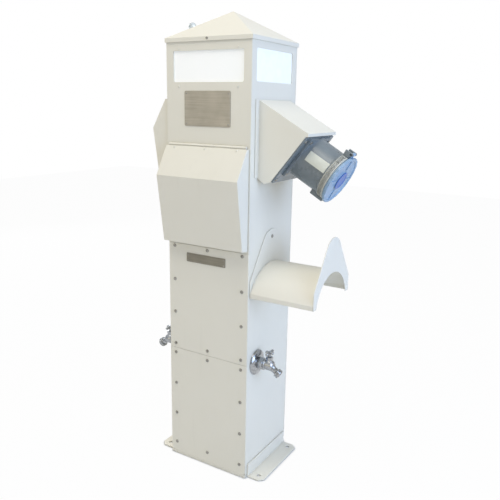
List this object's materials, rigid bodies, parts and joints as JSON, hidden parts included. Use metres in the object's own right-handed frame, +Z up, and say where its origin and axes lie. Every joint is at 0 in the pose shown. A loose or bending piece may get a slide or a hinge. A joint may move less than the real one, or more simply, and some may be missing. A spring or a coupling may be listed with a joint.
{
  "type": "utility service pedestal",
  "caption": "Free-standing power and water pedestal with lighted head, hinged covers, angled pin-and-sleeve outlet, hose rack and two taps.",
  "frame": {"origin": "centre of the base plate's underside, on the ground", "axes": "+X towards the angled outlet and hose rack, -Y the front with the breaker cover, +Z up"},
  "size_m": [0.5565, 0.2835, 1.235],
  "materials": {
    "white_powder_coat": "satin",
    "galvanised": "satin",
    "opal": "gloss",
    "bare_plate": "satin",
    "chrome": "polished",
    "blue_grey": "satin",
    "blue": "gloss",
    "cream": "matt",
    "black": "matt",
    "copper": "satin",
    "white_lamp": "gloss"
  },
  "bodies": {
    "root": {"base_angle_left": "white_powder_coat", "base_angle_right": "white_powder_coat", "base_plate": "galvanised", "breaker_1": "black", "breaker_2": "black", "breaker_plate": "galvanised", "breaker_rail": "galvanised", "contact_carrier": "black", "cross_rail_front": "galvanised", "cross_rail_rear": "galvanised", "front_access_panel_lower": "white_powder_coat", "front_access_panel_upper": "white_powder_coat", "front_head_sheet": "white_powder_coat", "front_hinge_fixed_leaf": "galvanised", "front_sill": "white_powder_coat", "hose_rack_inner_flange": "white_powder_coat", "hose_rack_outer_flange": "white_powder_coat", "hose_rack_saddle": "white_powder_coat", "id_plate": "bare_plate", "lamp": "white_lamp", "lamp_holder": "cream", "lamp_tray": "white_powder_coat", "left_hinge_fixed_leaf": "galvanised", "lens_front": "opal", "lens_left": "opal", "lens_rear": "opal", "lens_right": "opal", "lid_hinge_pin": "chrome", "nameplate": "bare_plate", "outlet_housing": "white_powder_coat", "outlet_left": "cream", "outlet_plate_left": "galvanised", "photocell": "opal", "rear_access_panel_lower": "white_powder_coat", "rear_access_panel_upper": "white_powder_coat", "rear_head_sheet": "white_powder_coat", "rear_sill": "white_powder_coat", "roof_cap": "white_powder_coat", "side_channel_left": "white_powder_coat", "side_channel_right": "white_powder_coat", "socket_body": "blue_grey", "socket_label": "cream", "socket_plate": "blue_grey", "tap_bell_left": "chrome", "tap_bell_right": "chrome", "tap_body_left": "chrome", "tap_body_right": "chrome", "terminal_block": "black", "water_riser": "copper"},
    "front_cover": {"breaker_cover": "white_powder_coat", "front_hinge_moving_leaf": "galvanised"},
    "left_cover": {"outlet_cover": "white_powder_coat", "left_hinge_moving_leaf": "galvanised"},
    "breaker_toggle_1": {"breaker_toggle_1": "cream"},
    "breaker_toggle_2": {"breaker_toggle_2": "cream"},
    "socket_lid": {"socket_lid": "blue"},
    "lid_lock": {"lid_locking_ring": "blue"},
    "tap_handle_right": {"tap_handle_right": "chrome"},
    "tap_handle_left": {"tap_handle_left": "chrome"}
  },
  "joints": [
    {"name": "front_cover_hinge", "type": "hinge", "parent": "root", "child": "front_cover", "pos_m": [0, -0.1178, 0.904], "axis": [-1, 0, 0], "range_deg": [0, 110]},
    {"name": "left_cover_hinge", "type": "hinge", "parent": "root", "child": "left_cover", "pos_m": [-0.1308, 0, 1.02], "axis": [0, 1, 0], "range_deg": [0, 110]},
    {"name": "breaker_toggle_1_hinge", "type": "hinge", "parent": "root", "child": "breaker_toggle_1", "pos_m": [-0.045, -0.1171, 0.77], "axis": [1, 0, 0], "range_deg": [0, 50]},
    {"name": "breaker_toggle_2_hinge", "type": "hinge", "parent": "root", "child": "breaker_toggle_2", "pos_m": [0.045, -0.1171, 0.77], "axis": [1, 0, 0], "range_deg": [0, 50]},
    {"name": "socket_lid_hinge", "type": "hinge", "parent": "root", "child": "socket_lid", "pos_m": [0.34427, 0, 0.89407], "axis": [0, -1, 0], "range_deg": [0, 135], "stiffness_Nm_per_rad": 0.12, "springref_deg": -85.94},
    {"name": "lid_lock_turn", "type": "hinge", "parent": "socket_lid", "child": "lid_lock", "pos_m": [0.31356, 0, 0.83097], "axis": [0.866, 0, -0.5], "range_deg": [0, 30]},
    {"name": "tap_handle_right_turn", "type": "hinge", "parent": "root", "child": "tap_handle_right", "pos_m": [0.168, -0.065, 0.331], "axis": [0, 0, 1], "range_deg": [0, 90]},
    {"name": "tap_handle_left_turn", "type": "hinge", "parent": "root", "child": "tap_handle_left", "pos_m": [-0.168, -0.065, 0.331], "axis": [0, 0, 1], "range_deg": [0, 90]}
  ]
}
